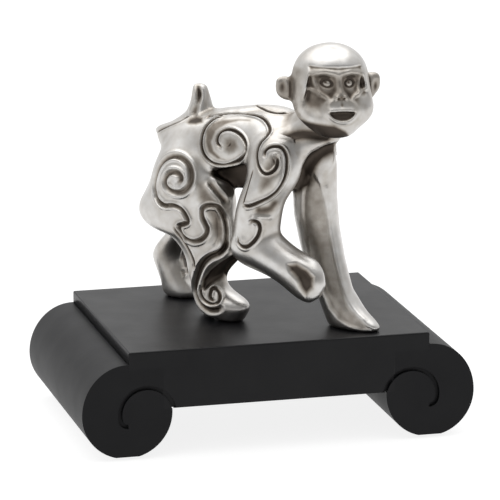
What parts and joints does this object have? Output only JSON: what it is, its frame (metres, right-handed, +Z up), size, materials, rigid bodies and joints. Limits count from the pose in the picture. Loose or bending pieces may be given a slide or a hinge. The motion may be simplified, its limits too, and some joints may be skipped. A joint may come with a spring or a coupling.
{
  "type": "monkey figurine",
  "caption": "Polished pewter monkey walking on all fours with one arm raised, carved with scroll curls, on a black plinth whose ends roll under as scrolls.",
  "frame": {"origin": "on the ground under the middle of the plinth, at the level of the felt pads' undersides", "axes": "+X along the plinth towards the planted hand's end, +Z up, front of the plinth towards -Y"},
  "size_m": [0.1358, 0.0863, 0.1351],
  "materials": {
    "pewter": "polished antique pewter, dark patina in the grooves",
    "lacquer": "satin black lacquer on wood",
    "dowel_wood": "bare beech",
    "felt": "black felt",
    "screw_steel": "zinc-plated steel"
  },
  "bodies": {
    "root": {"board": "lacquer", "left_scroll": "lacquer", "right_scroll": "lacquer", "scroll_dowels": "dowel_wood", "felt_pads": "felt", "foot_screws": "screw_steel", "screw_washers": "screw_steel", "torso": "pewter", "head": "pewter", "tail": "pewter", "right_arm": "pewter", "left_arm": "pewter", "right_leg": "pewter", "left_leg": "pewter"}
  },
  "joints": []
}
